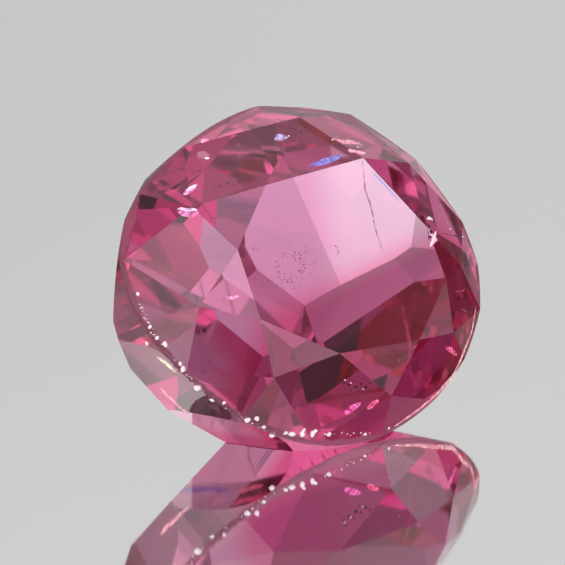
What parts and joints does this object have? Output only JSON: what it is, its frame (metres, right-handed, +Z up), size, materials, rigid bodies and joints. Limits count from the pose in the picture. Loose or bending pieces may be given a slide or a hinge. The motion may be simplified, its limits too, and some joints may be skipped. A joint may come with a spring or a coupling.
{
  "type": "ruby gemstone",
  "caption": "Loose native-cut oval ruby with a flat table, faceted crown and deep pavilion, lying tilted on a pavilion facet.",
  "frame": {"origin": "centre of the stone's bounding box at the level of the surface it lies on", "axes": "+Z up from the resting surface, +X to the viewer's right and +Y away from the viewer in the stone's lying pose"},
  "size_m": [0.0066, 0.0058, 0.0056],
  "materials": {
    "ruby_crystal": "polished transparent pink-red corundum, IOR 1.77"
  },
  "bodies": {
    "root": {"ruby": "ruby_crystal"}
  },
  "joints": []
}
